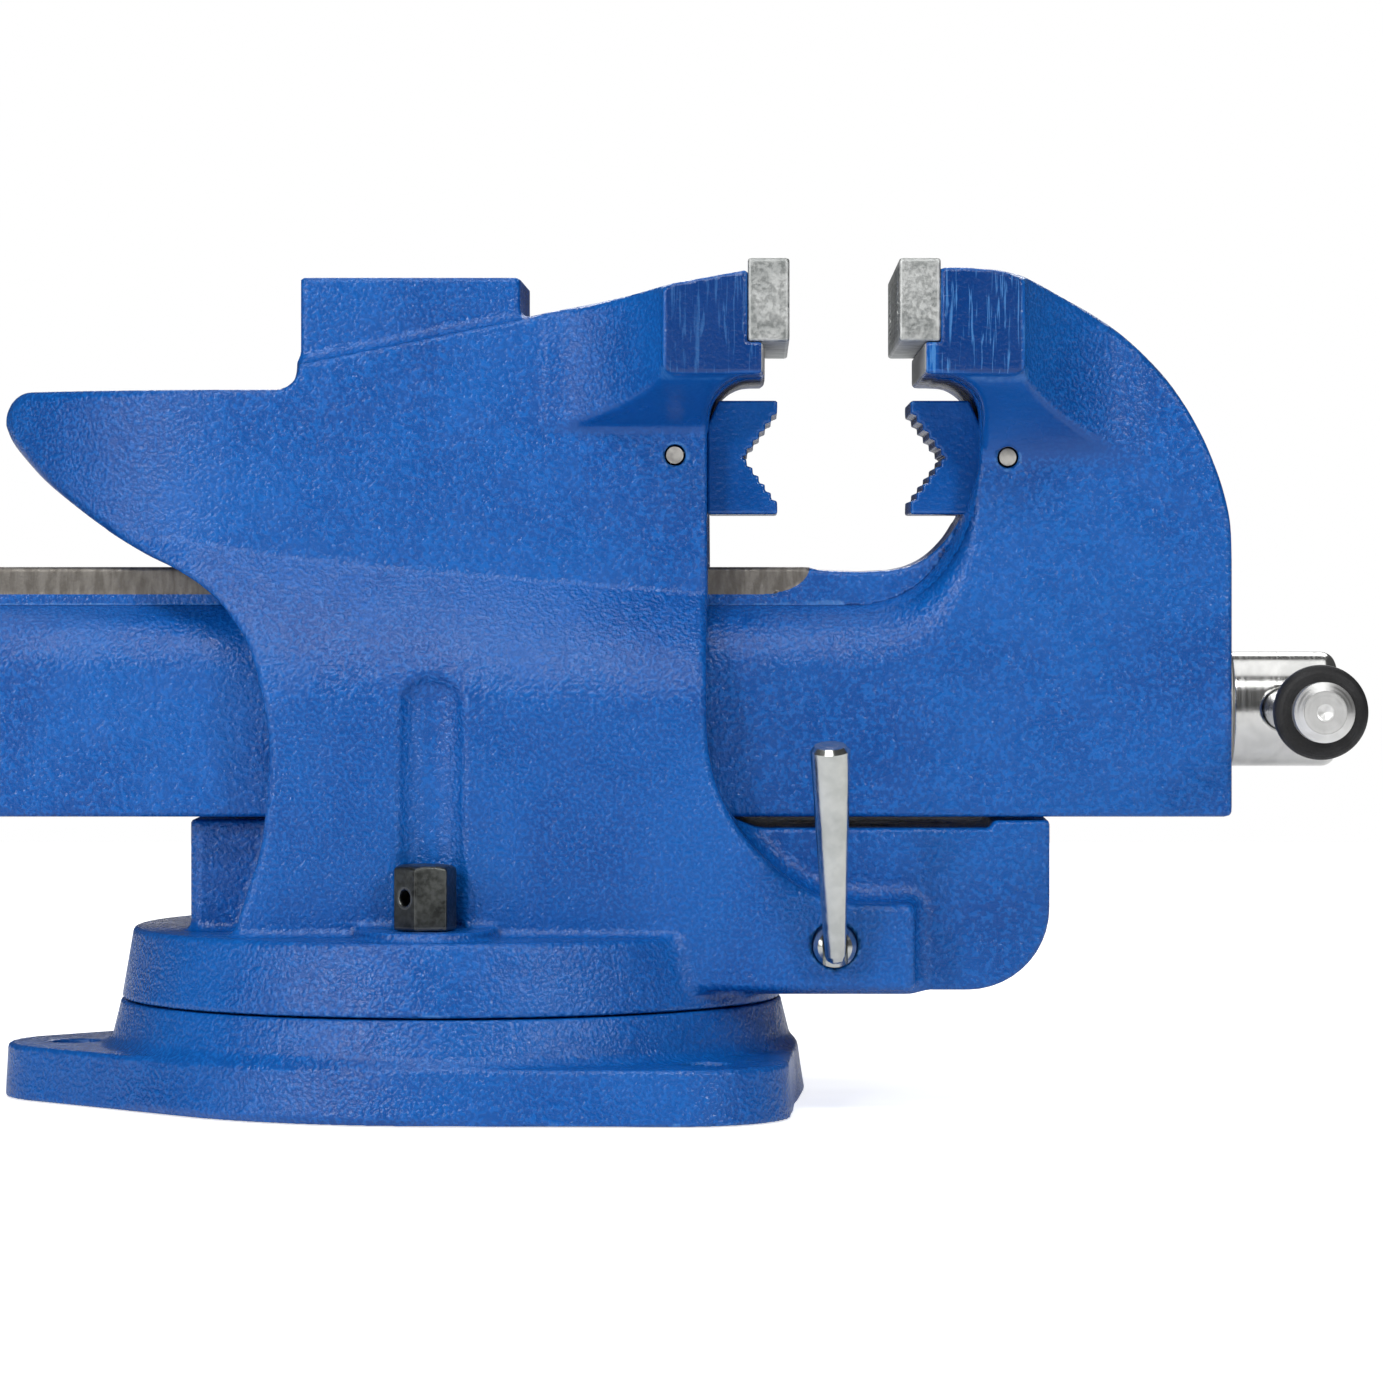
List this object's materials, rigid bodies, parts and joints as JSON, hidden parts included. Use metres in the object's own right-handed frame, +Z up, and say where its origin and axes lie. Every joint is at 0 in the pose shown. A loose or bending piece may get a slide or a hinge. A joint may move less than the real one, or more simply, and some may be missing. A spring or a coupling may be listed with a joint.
{
  "type": "bench vise",
  "caption": "Heavy cast bench vise with a swivel base, anvil and horn, sliding jaw with hollow beam, steel jaw inserts, toothed pipe jaws and a T-bar handle.",
  "frame": {"origin": "on the swivel axis, at the level of the bench top", "axes": "+X along the main screw towards the handle, +Y across the jaws, +Z up"},
  "size_m": [0.4719, 0.2992, 0.247],
  "materials": {
    "blue_casting": "semi-gloss blue paint over rough sand casting",
    "blue_pipe_jaw": "semi-gloss blue paint, smooth",
    "insert_steel": "mottled ground steel",
    "bright_steel": "bright zinc plate",
    "plain_steel": "turned steel with a film of grease",
    "black_steel": "black oxide",
    "nut_iron": "as cast and machined",
    "rubber": "matt black"
  },
  "bodies": {
    "base": {"base": "blue_casting"},
    "vise_body": {"fixed_jaw": "blue_casting", "fixed_insert": "insert_steel", "fixed_insert_screws": "black_steel", "fixed_pipe_jaw": "blue_pipe_jaw", "fixed_pipe_jaw_pin": "plain_steel", "screw_nut": "nut_iron", "nut_bolts": "black_steel", "clamp_nut": "black_steel", "t_nut_front": "plain_steel", "t_nut_back": "plain_steel"},
    "sliding_jaw": {"sliding_jaw": "blue_casting", "sliding_insert": "insert_steel", "sliding_insert_screws": "black_steel", "sliding_pipe_jaw": "blue_pipe_jaw", "sliding_pipe_jaw_pin": "plain_steel"},
    "screw": {"main_screw": "bright_steel", "thrust_washer": "plain_steel", "takeup_spring": "plain_steel", "retaining_collar": "plain_steel", "collar_pin": "black_steel"},
    "handle": {"handle_bar": "bright_steel", "handle_knob_front": "bright_steel", "handle_knob_back": "bright_steel", "handle_ring_front": "rubber", "handle_ring_back": "rubber"},
    "clamp_lever": {"clamp_screw": "bright_steel", "lock_lever": "bright_steel"},
    "bolt_front": {"lock_bolt_front": "black_steel"},
    "bolt_back": {"lock_bolt_back": "black_steel"}
  },
  "joints": [
    {"name": "swivel", "type": "hinge", "parent": "base", "child": "vise_body", "pos_m": [0, 0, 0.03], "axis": [0, 0, 1], "continuous": true},
    {"name": "jaw_slide", "type": "slide", "parent": "vise_body", "child": "sliding_jaw", "axis": [1, 0, 0], "range_m": [-0.0313, 0.1186]},
    {"name": "screw_spin", "type": "hinge", "parent": "sliding_jaw", "child": "screw", "pos_m": [0.25, 0, 0.1155], "axis": [1, 0, 0], "range_deg": [-2253, 8539]},
    {"name": "handle_slide", "type": "slide", "parent": "screw", "child": "handle", "axis": [0, 0.9998, -0.0175], "range_m": [-0.112, 0.112]},
    {"name": "lever_turn", "type": "hinge", "parent": "vise_body", "child": "clamp_lever", "pos_m": [0.114, 0, 0.0488], "axis": [0, 1, 0], "range_deg": [-60, 100]},
    {"name": "bolt_front_turn", "type": "hinge", "parent": "vise_body", "child": "bolt_front", "pos_m": [-0.004, -0.072, 0.06], "axis": [0, 0, 1], "range_deg": [0, 360]},
    {"name": "bolt_back_turn", "type": "hinge", "parent": "vise_body", "child": "bolt_back", "pos_m": [-0.004, 0.072, 0.06], "axis": [0, 0, 1], "range_deg": [0, 360]}
  ],
  "couplings": [
    {"joint": "jaw_slide", "follows": "screw_spin", "m_per_rad": 0.00079577}
  ]
}
